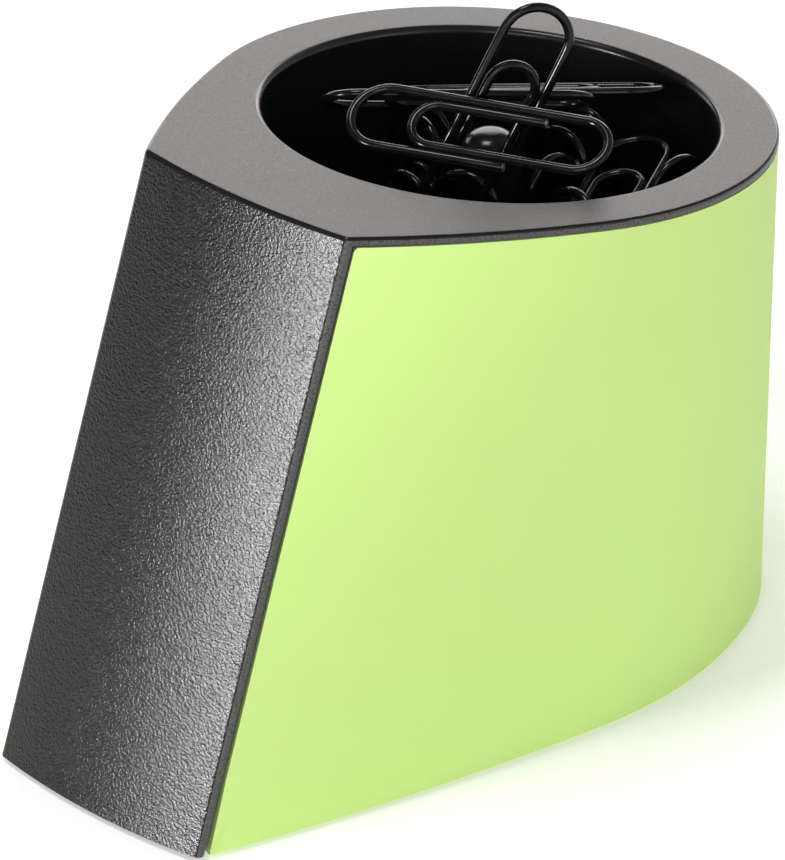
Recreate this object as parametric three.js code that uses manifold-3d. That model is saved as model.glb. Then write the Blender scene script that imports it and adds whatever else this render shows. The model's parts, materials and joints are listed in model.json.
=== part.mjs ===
// A desk holder for paper clips, in millimetres, +Z up, with its front towards -Y.
// A black moulding carries the sloping rim, the round cup with its magnet post and the leaning front panel.
// A coloured sleeve wraps the sides and the back, and a screwed base plate on four rubber feet closes it.
import * as THREE from "three";
import { mergeVertices } from "three/addons/utils/BufferGeometryUtils.js";
import Module from "manifold-3d";

const wasm = await Module();
wasm.setup();

// Outline of the foot of the walls, seen from above: three tangent arcs on each side and a bowed front.
const footBackCentreY = 3.5;
const footBackRadius = 25.3;
const footBackTurn = 63.5;
const footShoulderRadius = 42.8;
const footShoulderTurn = 100.2;
const footSideRadius = 283.5;
const footFrontY = -57.7;
const footFrontBow = 1.25;

// Outline of the rim, seen from above.
const rimBackCentreY = 0;
const rimBackRadius = 28.9;
const rimBackTurn = 67;
const rimShoulderRadius = 30.4;
const rimShoulderTurn = 111.4;
const rimSideRadius = 100.4;
const rimFrontY = -35;
const rimFrontBow = 1.2;

// The rim slopes: its height over the middle of the cup, and its fall for each millimetre towards the back.
const rimHeight = 56.2;
const rimFall = 0.11;
const rimEdgeHeight = 0.8;
const rimEdgeRound = 0.35;
const rimThickness = 2.4;
const cornerRound = 0.6;

// Walls of the frame and the sleeve, and the groove between them beside the front panel.
const wall = 2.2;
const sleeveClearance = 0.3;
const sleeveStepBack = 0.2;
const sleeveTopGap = 0.25;
const sleeveEdgeRound = 0.4;
const sleeveCornerRound = 0.9;
const panelSideWidth = 0.85;
const grooveWidthFoot = 0.8;
const grooveWidthRim = 0.4;
const flangeLength = 7;
const flangeThickness = 1.6;

// The cup and the hollow post in its middle.
const cupY = -0.4;
const rimWidth = 5.9;
const cupDraft = 0.7;
const cupWall = 1.5;
const cupFloor = 23;
const cupFloorThickness = 1.6;
const cupFloorFillet = 2;
const lipRound = 0.8;
const postRadius = 3;
const postBaseRadius = 4.6;
const postHeight = 31;
const postTopWall = 1.2;
const postEdgeRound = 0.8;
const magnetRadius = 2;
const magnetLength = 25;
const magnetClearance = 0.2;
const magnetChamfer = 0.3;

// Ribs, screw bosses and screws.
const ribThickness = 1.2;
const finBearings = [35, 78, 282, 325];
const finSetBack = 0.4;
const bossRadius = 3;
const rearBossX = 13;
const rearBossY = 8;
const frontBossY = -44;
const frontBossTop = 30;
const screwRadius = 1.4;
const screwLength = 10;
const screwHeadRadius = 2.7;
const screwHeadHeight = 1.7;
const screwFaceRadius = 2;
const screwHeadChamfer = 0.7;
const screwSlotLength = 3;
const screwSlotWidth = 0.6;
const screwClearance = 0.3;
const pilotClearance = 0.05;

// How far a form reaches into the one that carries it, so that the two join.
const joinDepth = 0.5;

// The base plate and its feet.
const plateBottom = 1.2;
const plateThickness = 2;
const plateClearance = 0.3;
const padRadius = 4.2;
const padHeight = 1.4;
const seatGap = 0.1;
const ledgeHeight = 1.2;
const ledgeWidth = 1.2;
const plateRibHeight = 1.1;
const footRadius = 4;
const footProud = 0.5;
const footRecess = 0.5;
const footClearance = 0.25;
const footChamfer = 0.4;
const frontFootX = 6.2;
const frontFootY = -49;
const rearFootX = 14;
const rearFootY = -6;

// A paper clip: the wire's thickness, the clip's length and width, and where its bends and its two ends lie.
const wireThickness = 1;
const clipLength = 28;
const clipWidth = 8.1;
const wireSpacing = 1.05;
const innerBendHeight = 4.5;
const outerEndDepth = 4;
const innerEndDepth = 6.5;
const wireEndChamfer = 0.12;
const clipGap = 0.2;
const clipTouch = 0.9;
const clipRiseStep = 0.5;
const clipRiseMost = 8;
const clipShiftStep = 1;
const clipShiftMost = 6;
const clipShiftWays = 8;

// Where the clips are: x and y from the post, then turns in degrees about the upright, the width and the length.
// Lift is how far a standing clip is off the cup's floor, and how far one that lies is above the standing ones' tops.
const standingClips = [
  { name: "clip_right_back", x: -0.5, y: 17, turns: [102, 171, 101], lift: 0.3 },
  { name: "clip_right_mid", x: 2.5, y: 9, turns: [155, 17, 27], lift: 0.3 },
  { name: "clip_right_near", x: 5.5, y: 3.5, turns: [-44, -8, 137], lift: 0.3 },
  { name: "clip_right_front", x: 11, y: -1, turns: [83, 8, 86], lift: 0.3 },
  { name: "clip_front", x: 1, y: -5, turns: [123, 5, 73], lift: 0.3 },
  { name: "clip_front_left", x: -2.5, y: -8, turns: [2, -8, 172], lift: 0.3 },
  { name: "clip_left", x: -14, y: 2.5, turns: [-84, -10, -81], lift: 0.3 },
  { name: "clip_left_near", x: -9, y: 0, turns: [-22, -5, 4], lift: 1.3 },
  { name: "clip_right_wall", x: 15.5, y: 9.5, turns: [74, 7, 12], lift: 1.8 },
];
const lyingClips = [
  { name: "clip_right_flat", x: 11, y: 5, turns: [115, 84, -98], lift: -6 },
  { name: "clip_back_low", x: -5.5, y: 1, turns: [-132, 87, 126], lift: 1.5 },
  { name: "clip_back_high", x: -5, y: 11, turns: [42, 89, -112], lift: 0 },
  { name: "clip_upright", x: 3.5, y: -3.5, turns: [66, 29, 170], lift: -6.5 },
  { name: "clip_lying", x: 6.5, y: -8.5, turns: [-158, 90, -118], lift: 6 },
];

// Facets.
const outlineSteps = { back: 9, shoulder: 6, side: 5, corner: 3, bow: 3 };
const cupSegments = 60;
const postSegments = 28;
const pinSegments = 20;
const roundSteps = 3;
const wireSides = 6;
const wireBendSteps = 4;
const wireSamples = 120;

const black = new THREE.MeshStandardMaterial({ color: 0x1b1a1a, roughness: 0.55 });
const glossBlack = new THREE.MeshStandardMaterial({ color: 0x0c0c0c, roughness: 0.2 });
const green = new THREE.MeshStandardMaterial({ color: 0xa6dc3a, roughness: 0.35 });
const rubber = new THREE.MeshStandardMaterial({ color: 0x222222, roughness: 0.9 });
const steel = new THREE.MeshStandardMaterial({ color: 0xb8b8b8, roughness: 0.3, metalness: 1 });

const { degToRad, lerp, clamp } = THREE.MathUtils;

const footOutline = {
  centreY: footBackCentreY,
  arcs: [[footBackRadius, footBackTurn], [footShoulderRadius, footShoulderTurn], [footSideRadius, null]],
  frontY: footFrontY,
  bow: footFrontBow,
};
const rimOutline = {
  centreY: rimBackCentreY,
  arcs: [[rimBackRadius, rimBackTurn], [rimShoulderRadius, rimShoulderTurn], [rimSideRadius, null]],
  frontY: rimFrontY,
  bow: rimFrontBow,
};

// The right half of an outline, from the middle of the back to the middle of the front.
function halfOutline(shape, inset, frontInset) {
  const half = [new THREE.Vector2(0, shape.centreY + shape.arcs[0][0] - inset)];
  const counts = [outlineSteps.back, outlineSteps.shoulder, outlineSteps.side];
  const frontY = shape.frontY + frontInset;
  let turn = 0;
  shape.arcs.forEach(([fullRadius, fullTurn], i) => {
    const radius = fullRadius - inset;
    const start = half[half.length - 1];
    const centreX = start.x - radius * Math.sin(turn);
    const centreY = start.y - radius * Math.cos(turn);
    const cosine = clamp((frontY - centreY) / radius, -1, 1);
    const end = fullTurn === null ? Math.acos(cosine) : degToRad(fullTurn);
    for (let step = 1; step <= counts[i]; step++) {
      const angle = lerp(turn, end, step / counts[i]);
      half.push(new THREE.Vector2(centreX + radius * Math.sin(angle), centreY + radius * Math.cos(angle)));
    }
    turn = end;
  });
  const corner = half.pop();
  const bowSlope = (2 * shape.bow) / corner.x;
  const along = new THREE.Vector2(Math.cos(turn), -Math.sin(turn));
  const across = new THREE.Vector2(-1, -bowSlope).normalize();
  const bend = Math.acos(along.dot(across));
  const radius = Math.max(cornerRound - inset, 0.05);
  const cut = radius * Math.tan(bend / 2);
  const centre = corner.clone().addScaledVector(along, -cut);
  centre.add(new THREE.Vector2(along.y, -along.x).multiplyScalar(radius));
  const firstAngle = Math.atan2(along.x, -along.y);
  for (let step = 0; step <= outlineSteps.corner; step++) {
    const angle = firstAngle - bend * (step / outlineSteps.corner);
    half.push(new THREE.Vector2(centre.x + radius * Math.cos(angle), centre.y + radius * Math.sin(angle)));
  }
  const bowStart = half[half.length - 1].x;
  for (let step = 1; step <= outlineSteps.bow; step++) {
    const x = bowStart * (1 - step / outlineSteps.bow);
    half.push(new THREE.Vector2(x, frontY - shape.bow * (1 - (x / corner.x) ** 2)));
  }
  return half;
}

// A whole outline, anticlockwise seen from above.
function outline(shape, inset, frontInset = inset) {
  const half = halfOutline(shape, inset, frontInset);
  const left = half.slice(1, -1).map((p) => new THREE.Vector2(-p.x, p.y));
  return [...half.reverse(), ...left];
}

const flat = (height) => ({ height, fall: 0 });
const underRim = (drop) => ({ height: rimHeight - drop, fall: rimFall });

// The walls are straight lines from the foot's outline to the rim's. This cuts them with a plane.
function section(plane, inset = {}) {
  const { foot = 0, rim = foot, front } = inset;
  const low = outline(footOutline, foot, front ?? foot);
  const high = outline(rimOutline, rim, front ?? rim);
  return low.map((a, i) => {
    const b = high[i];
    const topZ = rimHeight - rimFall * b.y;
    const share = (plane.height - plane.fall * a.y) / (topZ + plane.fall * (b.y - a.y));
    return new THREE.Vector3(lerp(a.x, b.x, share), lerp(a.y, b.y, share), topZ * share);
  });
}

// A circle about an upright axis, laid on a plane.
function circle(radius, plane, x, y, segments) {
  return Array.from({ length: segments }, (_, i) => {
    const angle = (i / segments) * 2 * Math.PI;
    const px = x + radius * Math.cos(angle);
    const py = y + radius * Math.sin(angle);
    return new THREE.Vector3(px, py, plane.height - plane.fall * py);
  });
}

// A closed skin over convex rings of equal count, each anticlockwise about the way the rings run.
function loft(rings) {
  const count = rings[0].length;
  const last = (rings.length - 1) * count;
  const index = [];
  for (let start = 0; start < last; start += count) {
    for (let i = 0; i < count; i++) {
      const a = start + i;
      const b = start + ((i + 1) % count);
      index.push(a, b, b + count, a, b + count, a + count);
    }
  }
  for (let i = 1; i + 1 < count; i++) {
    index.push(0, i + 1, i);
    index.push(last, last + i, last + i + 1);
  }
  const geometry = new THREE.BufferGeometry();
  const positions = rings.flat().flatMap((p) => p.toArray());
  geometry.setAttribute("position", new THREE.Float32BufferAttribute(positions, 3));
  geometry.setIndex(index);
  return geometry;
}

// A closed geometry as a solid that can be joined and cut.
function solid(geometry) {
  const bare = new THREE.BufferGeometry();
  bare.setAttribute("position", geometry.getAttribute("position").clone());
  bare.setIndex(geometry.index);
  const merged = mergeVertices(bare, 1e-4);
  const corners = merged.index.array;
  const kept = [];
  for (let i = 0; i < corners.length; i += 3) {
    const [a, b, c] = [corners[i], corners[i + 1], corners[i + 2]];
    if (a !== b && b !== c && c !== a) kept.push(a, b, c);
  }
  return new wasm.Manifold(
    new wasm.Mesh({
      numProp: 3,
      vertProperties: merged.getAttribute("position").array,
      triVerts: new Uint32Array(kept),
    }),
  );
}

function geometryOf(made) {
  const mesh = made.getMesh();
  const geometry = new THREE.BufferGeometry();
  geometry.setAttribute("position", new THREE.BufferAttribute(mesh.vertProperties, 3));
  geometry.setIndex(new THREE.BufferAttribute(mesh.triVerts, 1));
  return geometry;
}

const join = (solids) => solids.reduce((a, b) => a.add(b));
const walls = (planes, inset) => solid(loft(planes.map((plane) => section(plane, inset))));

// An upright round solid from radius and height pairs, which start and end on the axis.
function turned(profile, x, y, segments) {
  const points = profile.map(([radius, z]) => new THREE.Vector2(radius, z));
  const geometry = new THREE.LatheGeometry(points, segments);
  geometry.rotateX(Math.PI / 2);
  geometry.translate(x, y, 0);
  return solid(geometry);
}

function cylinder(radius, bottom, top, x, y, segments = pinSegments) {
  return turned([[0, bottom], [radius, bottom], [radius, top], [0, top]], x, y, segments);
}

// A side view, drawn as y and z, pulled out along X to both sides.
function sidePrism(shape, halfWidth) {
  const geometry = new THREE.ExtrudeGeometry(shape, {
    depth: 2 * halfWidth,
    bevelEnabled: false,
    curveSegments: 4,
  });
  const alongX = new THREE.Matrix4().makeBasis(
    new THREE.Vector3(0, 1, 0),
    new THREE.Vector3(0, 0, 1),
    new THREE.Vector3(1, 0, 0),
  );
  geometry.applyMatrix4(alongX);
  geometry.translate(-halfWidth, 0, 0);
  return solid(geometry);
}

const sideShape = (points) => new THREE.Shape(points.map(([y, z]) => new THREE.Vector2(y, z)));

function box(sizeX, sizeY, sizeZ, x, y, z) {
  const geometry = new THREE.BoxGeometry(sizeX, sizeY, sizeZ);
  geometry.translate(x, y, z);
  return solid(geometry);
}

// Heights and side-view lines that several pieces share.
const plateTop = plateBottom + plateThickness;
const padTop = plateTop + padHeight;
const bossBottom = padTop + seatGap;
const liningBottom = plateTop + seatGap + ledgeHeight;
const postTop = cupFloor + postHeight;
const floorUnderside = cupFloor - cupFloorThickness;
const rimFrontHeight = rimHeight - rimFall * rimFrontY;
const coreInset = wall + sleeveClearance;
const cupRadius = rimBackRadius - rimWidth;
const reach = 100;
const panelEdgeY = (z) => lerp(footFrontY, rimFrontY, z / rimFrontHeight);
const sleeveEdgeY = (z) =>
  panelEdgeY(z) + panelSideWidth + lerp(grooveWidthFoot, grooveWidthRim, z / rimFrontHeight);
const screwPlaces = [
  { name: "screw_front", x: 0, y: frontBossY, bossTop: frontBossTop },
  { name: "screw_left", x: -rearBossX, y: rearBossY, bossTop: floorUnderside + cupFloorThickness / 2 },
  { name: "screw_right", x: rearBossX, y: rearBossY, bossTop: floorUnderside + cupFloorThickness / 2 },
];

// The frame's outside, from the foot up to the rounded edge of the rim.
function frameOutside() {
  const rings = [section(flat(0)), section(underRim(rimEdgeHeight))];
  for (let step = 0; step <= roundSteps; step++) {
    const angle = (step / roundSteps) * (Math.PI / 2);
    const inset = rimEdgeRound * (1 - Math.cos(angle));
    rings.push(section(underRim(rimEdgeRound * (1 - Math.sin(angle))), { foot: inset }));
  }
  return solid(loft(rings));
}

// The room that the sleeve takes: from the panel's side faces round the back, under the rim's edge.
function sleeveSpace() {
  const outside = walls([flat(-2), underRim(rimEdgeHeight)], { foot: -wall });
  const inside = walls([flat(-3), underRim(-1)], { foot: coreInset });
  return outside.subtract(inside).intersect(behindPanel(panelSideWidth, -1));
}

// Everything behind a line that leans with the panel, seen from the side, from a height upwards.
function behindPanel(distance, bottom) {
  const shape = sideShape([
    [panelEdgeY(bottom) + distance, bottom],
    [reach, bottom],
    [reach, reach],
    [panelEdgeY(reach) + distance, reach],
  ]);
  return sidePrism(shape, reach);
}

// The room inside: between the flanges, behind them out to the sleeve, and under them for the base plate.
function innerSpace() {
  const nearSleeve = coreInset - sleeveClearance / 2;
  const between = walls([flat(-2), underRim(rimThickness)], { foot: coreInset + flangeThickness, front: wall });
  const behind = walls([flat(-2), underRim(rimThickness)], { foot: nearSleeve });
  const under = walls([flat(-1), flat(liningBottom)], { foot: nearSleeve, front: wall + plateClearance / 2 });
  return join([between, under, behind.intersect(behindPanel(panelSideWidth + flangeLength, -2))]);
}

// The inside of the cup, with the rounded lip that follows the rim's slope.
function cupSpace() {
  const rings = [];
  const footRadius = cupRadius - cupDraft;
  for (let step = 0; step <= roundSteps; step++) {
    const angle = (step / roundSteps) * (Math.PI / 2);
    const radius = footRadius - cupFloorFillet * (1 - Math.sin(angle));
    const height = cupFloor + cupFloorFillet * (1 - Math.cos(angle));
    rings.push(circle(radius, flat(height), 0, cupY, cupSegments));
  }
  for (let step = 0; step <= roundSteps; step++) {
    const angle = (step / roundSteps) * (Math.PI / 2);
    const radius = cupRadius + lipRound * (1 - Math.cos(angle));
    rings.push(circle(radius, underRim(lipRound * (1 - Math.sin(angle))), 0, cupY, cupSegments));
  }
  rings.push(circle(cupRadius + lipRound, underRim(-1), 0, cupY, cupSegments));
  return solid(loft(rings));
}

function cupShell() {
  const bottomRadius = cupRadius - cupDraft + cupWall;
  const chamfer = cupFloorFillet / 2;
  return solid(
    loft([
      circle(bottomRadius - chamfer, flat(floorUnderside), 0, cupY, cupSegments),
      circle(bottomRadius, flat(floorUnderside + chamfer), 0, cupY, cupSegments),
      circle(cupRadius + cupWall, underRim(rimEdgeHeight), 0, cupY, cupSegments),
    ]),
  );
}

// The tapered post in the middle of the cup. It is hollow from below, for the magnet.
function magnetPost() {
  const profile = [[0, cupFloor - cupFloorThickness / 2], [postBaseRadius, cupFloor - cupFloorThickness / 2]];
  for (let step = 0; step <= roundSteps; step++) {
    const angle = (step / roundSteps) * (Math.PI / 2);
    const radius = postRadius - postEdgeRound * (1 - Math.cos(angle));
    profile.push([radius, postTop - postEdgeRound * (1 - Math.sin(angle))]);
  }
  profile.push([0, postTop]);
  return turned(profile, 0, cupY, postSegments);
}

function magnetBore() {
  const radius = magnetRadius + magnetClearance;
  return cylinder(radius, floorUnderside - 1, postTop - postTopWall, 0, cupY);
}

// Fins between the cup and the sleeve, and the web that ties the cup to the front panel.
function ribs() {
  const core = walls([flat(cupFloor), underRim(rimEdgeHeight)], { foot: coreInset + finSetBack });
  const start = cupRadius - cupDraft + cupWall / 2;
  const fin = box(ribThickness, reach, 2 * reach, 0, start + reach / 2, 0);
  const fins = finBearings.map((bearing) => fin.rotate([0, 0, bearing]).translate([0, cupY, 0]));
  const inPlace = core.intersect(join(fins));
  const webBack = cupY - cupRadius - cupWall / 2;
  const webShape = sideShape([
    [webBack, cupFloor + wall],
    [webBack, rimHeight],
    [panelEdgeY(rimHeight) + wall / 2, rimHeight],
    [panelEdgeY(cupFloor) + wall / 2, cupFloor - wall],
  ]);
  const web = sidePrism(webShape, ribThickness / 2);
  return inPlace.add(web.intersect(walls([flat(0), underRim(rimEdgeHeight)], { foot: wall / 2 })));
}

function bosses() {
  const inside = walls([flat(0), underRim(rimEdgeHeight)], { foot: wall / 2 });
  const posts = screwPlaces.map((s) => cylinder(bossRadius, bossBottom, s.bossTop, s.x, s.y));
  return join(posts).intersect(inside);
}

function pilotHoles() {
  const holes = screwPlaces.map((s) => {
    const top = padTop + screwLength + screwClearance;
    return cylinder(screwRadius + pilotClearance, bossBottom - 1, top, s.x, s.y);
  });
  return join(holes);
}

// The black moulding: its outside, hollowed, with the cup and the ribs and bosses added.
function frame() {
  const shell = frameOutside().subtract(sleeveSpace()).subtract(innerSpace());
  const body = join([shell, cupShell(), ribs(), bosses()]);
  return body.subtract(cupSpace()).add(magnetPost()).subtract(magnetBore()).subtract(pilotHoles());
}

// The sleeve: a leaning wall from groove to groove, rounded at its edges, with a ledge over the base plate.
function sideSleeve() {
  const topDrop = rimEdgeHeight + sleeveTopGap;
  const rings = [section(flat(0), { foot: sleeveEdgeRound / 2, rim: sleeveEdgeRound / 2 })];
  rings.push(section(flat(sleeveEdgeRound / 2), { foot: 0, rim: sleeveStepBack }));
  for (let step = 0; step <= roundSteps; step++) {
    const angle = (step / roundSteps) * (Math.PI / 2);
    const inset = sleeveEdgeRound * (1 - Math.cos(angle));
    const drop = topDrop + sleeveEdgeRound * (1 - Math.sin(angle));
    rings.push(section(underRim(drop), { foot: inset, rim: sleeveStepBack + inset }));
  }
  const inside = walls([flat(-1), underRim(0)], { foot: wall });
  const shell = solid(loft(rings)).subtract(inside);
  const ledgeBottom = plateTop + seatGap;
  const ledgeOutside = walls([flat(ledgeBottom), flat(ledgeBottom + ledgeHeight)], { foot: wall / 2 });
  const ledgeInside = walls([flat(0), flat(rimHeight / 2)], { foot: wall + ledgeWidth });
  const ledgeFront = panelEdgeY(ledgeBottom) + panelSideWidth + flangeLength + ledgeWidth;
  const behindFlanges = sideShape([[ledgeFront, 0], [reach, 0], [reach, reach], [ledgeFront, reach]]);
  const ledge = ledgeOutside.subtract(ledgeInside).intersect(sidePrism(behindFlanges, reach));
  return shell.add(ledge).intersect(sidePrism(sleeveSide(topDrop), reach));
}

// The sleeve seen from the side: its front edges lean with the groove and have rounded corners.
function sleeveSide(topDrop) {
  const topAt = (y) => rimHeight - topDrop - rimFall * y;
  const round = sleeveCornerRound;
  const topZ = topAt(sleeveEdgeY(rimFrontHeight));
  const topY = sleeveEdgeY(topZ);
  const shape = new THREE.Shape();
  shape.moveTo(reach, 0);
  shape.lineTo(reach, topAt(reach));
  shape.lineTo(topY + round, topAt(topY + round));
  shape.quadraticCurveTo(topY, topZ, sleeveEdgeY(topZ - round), topZ - round);
  shape.lineTo(sleeveEdgeY(round), round);
  shape.quadraticCurveTo(sleeveEdgeY(0), 0, sleeveEdgeY(0) + round, 0);
  shape.closePath();
  return shape;
}

// The base plate: pads and ribs above, counterbores and foot recesses below, and the pin under the magnet.
function basePlate() {
  const inset = { foot: wall + plateClearance };
  const plate = walls([flat(plateBottom), flat(plateTop)], inset);
  const pads = screwPlaces.map((s) => cylinder(padRadius, plateBottom + joinDepth, padTop, s.x, s.y));
  const pinTop = postTop - postTopWall - seatGap - magnetLength - seatGap;
  const pin = turned(
    [
      [0, plateBottom + joinDepth],
      [padRadius, plateBottom + joinDepth],
      [padRadius, plateTop + plateRibHeight],
      [magnetRadius, plateTop + 2 * plateRibHeight],
      [magnetRadius, pinTop],
      [0, pinTop],
    ],
    0,
    cupY,
    pinSegments,
  );
  const ribZ = plateTop + (plateRibHeight - joinDepth) / 2;
  const ribHeight = plateRibHeight + joinDepth;
  const frontRib = box(ribThickness, cupY - frontBossY, ribHeight, 0, (cupY + frontBossY) / 2, ribZ);
  const rearRib = box(2 * rearBossX, ribThickness, ribHeight, 0, rearBossY, ribZ);
  const tieRib = box(ribThickness, rearBossY - cupY, ribHeight, 0, (rearBossY + cupY) / 2, ribZ);
  const holes = screwPlaces.flatMap((s) => [
    cylinder(screwRadius + screwClearance, 0, padTop + 1, s.x, s.y),
    cylinder(screwHeadRadius + screwClearance, 0, plateTop, s.x, s.y),
  ]);
  const recesses = footPlaces.map((f) =>
    cylinder(footRadius + footClearance, 0, plateBottom + footRecess, f.x, f.y, postSegments),
  );
  return join([plate, ...pads, pin, frontRib, rearRib, tieRib]).subtract(join([...holes, ...recesses]));
}

const footPlaces = [
  { name: "foot_front_left", x: -frontFootX, y: frontFootY },
  { name: "foot_front_right", x: frontFootX, y: frontFootY },
  { name: "foot_rear_left", x: -rearFootX, y: rearFootY },
  { name: "foot_rear_right", x: rearFootX, y: rearFootY },
];

function rubberFoot({ x, y }) {
  const top = plateBottom + footRecess - seatGap;
  return turned(
    [
      [0, -footProud],
      [footRadius - footChamfer, -footProud],
      [footRadius, footChamfer - footProud],
      [footRadius, top],
      [0, top],
    ],
    x,
    y,
    postSegments,
  );
}

function magnet() {
  const top = postTop - postTopWall - seatGap;
  return turned(
    [
      [0, top - magnetLength],
      [magnetRadius - magnetChamfer, top - magnetLength],
      [magnetRadius, top - magnetLength + magnetChamfer],
      [magnetRadius, top - magnetChamfer],
      [magnetRadius - magnetChamfer, top],
      [0, top],
    ],
    0,
    cupY,
    pinSegments,
  );
}

// A pan-head screw, driven from below, with a cross recess.
function screw({ x, y }) {
  const seat = plateTop - seatGap;
  const headBottom = seat - screwHeadHeight;
  const tip = padTop + screwLength;
  const body = turned(
    [
      [0, headBottom],
      [screwFaceRadius, headBottom],
      [screwHeadRadius, headBottom + screwHeadChamfer],
      [screwHeadRadius, seat],
      [screwRadius, seat],
      [screwRadius, tip - screwRadius],
      [0, tip],
    ],
    x,
    y,
    pinSegments,
  );
  const across = box(screwSlotLength, screwSlotWidth, screwHeadHeight, x, y, headBottom);
  const along = box(screwSlotWidth, screwSlotLength, screwHeadHeight, x, y, headBottom);
  return body.subtract(across.add(along));
}

// The clip's wire seen from the front, standing: down the outer leg's end, and up and round to the inner one.
function clipLine() {
  const top = (clipLength - wireThickness) / 2;
  const outer = (clipWidth - wireThickness) / 2;
  const low = outer - wireSpacing / 2;
  const inner = outer - wireSpacing;
  const line = new THREE.Path();
  line.moveTo(-outer, -outerEndDepth);
  line.lineTo(-outer, top - outer);
  line.absarc(0, top - outer, outer, Math.PI, 0, true);
  line.lineTo(outer, low - top);
  line.absarc(outer - low, low - top, low, 0, -Math.PI, true);
  line.lineTo(outer - 2 * low, innerBendHeight);
  line.absarc(outer - 2 * low + inner, innerBendHeight, inner, Math.PI, 0, true);
  line.lineTo(outer - 2 * low + 2 * inner, -innerEndDepth);
  return line;
}

const upright = (points) => points.map((p) => new THREE.Vector3(p.x, 0, p.y));

// The points of a line without those that repeat the one before.
function distinct(points) {
  return points.filter((p, i) => i === 0 || p.distanceTo(points[i - 1]) > 1e-6);
}

// A round wire along points that lie in one upright plane, with chamfered ends.
function wire(points) {
  const flatway = new THREE.Vector3(0, 1, 0);
  const ringAt = (centre, along, radius) => {
    const across = along.clone().cross(flatway);
    return Array.from({ length: wireSides }, (_, i) => {
      const angle = (2 * Math.PI * (i + 0.5)) / wireSides;
      const point = centre.clone().addScaledVector(flatway, radius * Math.cos(angle));
      return point.addScaledVector(across, radius * Math.sin(angle));
    });
  };
  const radius = wireThickness / 2;
  const endRadius = radius - wireEndChamfer;
  const rings = points.map((point, i) => {
    const before = points[Math.max(i - 1, 0)];
    const after = points[Math.min(i + 1, points.length - 1)];
    return ringAt(point, after.clone().sub(before).normalize(), radius);
  });
  const [first, second] = points;
  const last = points[points.length - 1];
  const startWay = second.clone().sub(first).normalize();
  const endWay = last.clone().sub(points[points.length - 2]).normalize();
  const start = ringAt(first.clone().addScaledVector(startWay, -wireEndChamfer), startWay, endRadius);
  const end = ringAt(last.clone().addScaledVector(endWay, wireEndChamfer), endWay, endRadius);
  return loft([start, ...rings, end]);
}

// A clip's turns and place as one matrix, with its lowest point at a height.
function clipPose({ x, y, turns }, samples, lowest, [shiftX, shiftY]) {
  const [about, lean, roll] = turns.map(degToRad);
  const pose = new THREE.Matrix4().makeRotationZ(about);
  pose.multiply(new THREE.Matrix4().makeRotationY(lean));
  pose.multiply(new THREE.Matrix4().makeRotationZ(roll));
  const heights = samples.map((p) => p.clone().applyMatrix4(pose).z);
  const bottom = Math.min(...heights) - wireThickness / 2;
  return new THREE.Matrix4().makeTranslation(x + shiftX, cupY + y + shiftY, lowest - bottom).multiply(pose);
}

// How far a clip's wire is from the post and the cup's wall, at the closest.
function roomInCup(samples) {
  const postAt = (z) => lerp(postBaseRadius, postRadius, clamp((z - cupFloor) / postHeight, 0, 1));
  const rooms = samples.map((p) => {
    const out = Math.hypot(p.x, p.y - cupY);
    const fromPost = p.z > postTop + wireThickness / 2 + clipGap ? reach : out - postAt(p.z);
    const fromWall = p.z > rimHeight - rimFall * p.y + wireThickness ? reach : cupRadius - cupDraft - out;
    return Math.min(fromPost, fromWall) - wireThickness / 2;
  });
  return Math.min(...rooms);
}

// Whether two clips' wires, given as points along their middles, come closer than a gap.
function wiresCloser(a, b, gap) {
  const least = (wireThickness + gap) ** 2;
  return a.some((p) => b.some((q) => p.distanceToSquared(q) < least));
}

// No shift, then a ring of shifts all round, then rings further and further out.
function shiftsAround() {
  const shifts = [[0, 0]];
  for (let far = clipShiftStep; far <= clipShiftMost; far += clipShiftStep) {
    for (let way = 0; way < clipShiftWays; way++) {
      const angle = (2 * Math.PI * way) / clipShiftWays;
      shifts.push([far * Math.cos(angle), far * Math.sin(angle)]);
    }
  }
  return shifts;
}

// No rise, then one step up and one down, then two, and so on.
function risesBothWays() {
  const count = Math.round(clipRiseMost / clipRiseStep);
  const steps = Array.from({ length: count }, (_, i) => (i + 1) * clipRiseStep);
  return [0, ...steps.flatMap((far) => [far, -far])];
}

// Puts the clips in one after another. Each goes to its place, or to the nearest one where it is clear of the rest
// and still rests: a standing clip at its height from the floor, and a lying clip against one that is there already.
function clips() {
  const line = clipLine();
  const bends = distinct(upright(line.getPoints(wireBendSteps)));
  const samples = upright(line.getSpacedPoints(wireSamples));
  const settled = [];
  const settle = (clip, base, rises, mustTouch) => {
    for (const shift of shiftsAround()) {
      for (const rise of rises) {
        const pose = clipPose(clip, samples, base + clip.lift + rise, shift);
        const points = samples.map((p) => p.clone().applyMatrix4(pose));
        const closerThan = (gap) => settled.some((other) => wiresCloser(points, other.points, gap));
        if (roomInCup(points) < clipGap / 2 || closerThan(clipGap)) continue;
        if (!mustTouch || closerThan(clipTouch)) {
          settled.push({ name: clip.name, points, pose });
          return;
        }
      }
    }
    throw new Error(`${clip.name} has no room`);
  };
  standingClips.forEach((clip) => settle(clip, cupFloor, [0], false));
  lyingClips.forEach((clip) => settle(clip, cupFloor + clipLength, risesBothWays(), true));
  return settled.map(({ name, pose }) => ({ name, geometry: wire(bends).applyMatrix4(pose) }));
}

function named(name, made, material) {
  const mesh = new THREE.Mesh(made.isBufferGeometry ? made : geometryOf(made), material);
  mesh.name = name;
  return mesh;
}

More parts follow.
